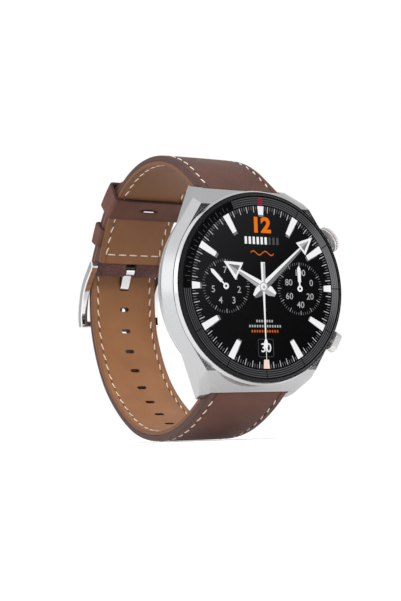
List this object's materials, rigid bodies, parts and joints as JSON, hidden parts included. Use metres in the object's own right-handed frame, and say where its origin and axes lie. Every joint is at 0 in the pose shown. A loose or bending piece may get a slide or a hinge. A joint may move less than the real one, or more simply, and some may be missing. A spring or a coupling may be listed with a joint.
{
  "type": "smartwatch",
  "caption": "Round smartwatch with a glass-covered lit dial, push-and-turn crown, side pusher and stitched two-piece leather strap closed by a tang buckle.",
  "frame": {"origin": "centre of the flat face of the sensor window, which touches the wrist and takes the charger", "axes": "+Z from 6 o'clock to 12 o'clock, +X from 9 o'clock to 3 o'clock where the crown is, dial facing -Y and the strap loop behind the case towards +Y"},
  "size_m": [0.049, 0.0801, 0.0727],
  "materials": {
    "case_steel": "satin top faces, polished bevels",
    "polished_steel": "mirror polished",
    "screw_steel": "turned",
    "shield_metal": "stamped",
    "dark_inlay": "knurled, dark",
    "clear_glass": "clear, polished",
    "black_rubber": "moulded",
    "display_black": "lit dial under glass",
    "frame_plastic": "moulded",
    "board_green": "solder mask",
    "chip_black": "moulded",
    "battery_foil": "foil pouch",
    "back_plastic": "fine moulded texture",
    "dark_crystal": "polished dark crystal",
    "gold_contact": "gold plated",
    "sensor_lens": "moulded lens",
    "red_accent": "enamel",
    "brown_leather": "waxed, fine grain",
    "tan_lining": "smooth lining"
  },
  "bodies": {
    "watch": {"back_cover": "back_plastic", "back_gasket": "black_rubber", "back_screws": "screw_steel", "battery": "battery_foil", "bezel_ring": "polished_steel", "board_chips": "chip_black", "buckle_bar": "polished_steel", "case_middle": "case_steel", "charging_pins": "gold_contact", "corner_inlays": "dark_inlay", "cover_glass": "clear_glass", "crown_bush": "screw_steel", "crown_switch": "chip_black", "display_connector": "chip_black", "display_panel": "display_black", "display_shield": "shield_metal", "fixed_keeper": "brown_leather", "glass_gasket": "black_rubber", "lug_bar_bottom": "polished_steel", "lug_bar_top": "polished_steel", "main_board": "board_green", "microphone": "shield_metal", "mid_frame": "frame_plastic", "optical_sensors": "sensor_lens", "pusher_bush": "screw_steel", "pusher_switch": "chip_black", "sensor_board": "board_green", "sensor_window": "dark_crystal", "speaker": "chip_black", "strap_bottom_leather": "brown_leather", "strap_bottom_lining": "tan_lining", "strap_top_leather": "brown_leather", "strap_top_lining": "tan_lining", "vibration_motor": "shield_metal"},
    "crown_slider": {"crown_carrier": "screw_steel"},
    "crown": {"crown_stem": "screw_steel", "crown_gasket": "black_rubber", "crown_base": "polished_steel", "crown_accent_ring": "red_accent", "crown_cap": "polished_steel"},
    "pusher": {"pusher_stem": "screw_steel", "pusher_clip": "screw_steel", "pusher_cap": "polished_steel"},
    "loose_keeper": {"free_keeper": "brown_leather", "keeper_staple": "polished_steel"},
    "buckle": {"buckle_frame": "polished_steel"},
    "tang": {"buckle_tang": "polished_steel"},
    "plunger_top": {"lug_plunger_top": "polished_steel"},
    "plunger_bottom": {"lug_plunger_bottom": "polished_steel"}
  },
  "joints": [
    {"name": "crown_push", "type": "slide", "parent": "watch", "child": "crown_slider", "axis": [-0.866, 0, -0.5], "range_m": [0, 0.0004], "stiffness_N_per_m": 2000, "springref_m": -0.0004},
    {"name": "crown_spin", "type": "hinge", "parent": "crown_slider", "child": "crown", "pos_m": [0.02165, -0.0086, 0.0125], "axis": [0.866, 0, 0.5], "continuous": true},
    {"name": "pusher_press", "type": "slide", "parent": "watch", "child": "pusher", "axis": [-0.866, 0, 0.5], "range_m": [0, 0.0006], "stiffness_N_per_m": 2000, "springref_m": -0.0004},
    {"name": "loose_keeper_slide", "type": "hinge", "parent": "watch", "child": "loose_keeper", "pos_m": [0, 0.0247, 0.0015], "axis": [1, 0, 0], "range_deg": [-8, 10]},
    {"name": "buckle_lift", "type": "hinge", "parent": "watch", "child": "buckle", "pos_m": [0, 0.05804, 0.01279], "axis": [1, 0, 0], "range_deg": [0, 3]},
    {"name": "tang_lift", "type": "hinge", "parent": "watch", "child": "tang", "pos_m": [0, 0.05804, 0.01279], "axis": [1, 0, 0], "range_deg": [0, 3]},
    {"name": "plunger_top_release", "type": "slide", "parent": "watch", "child": "plunger_top", "axis": [-1, 0, 0], "range_m": [0, 0.0012], "stiffness_N_per_m": 600, "springref_m": -0.001},
    {"name": "plunger_bottom_release", "type": "slide", "parent": "watch", "child": "plunger_bottom", "axis": [-1, 0, 0], "range_m": [0, 0.0012], "stiffness_N_per_m": 600, "springref_m": -0.001}
  ],
  "couplings": [
    {"joint": "tang_lift", "follows": "buckle_lift", "ratio": 1}
  ]
}
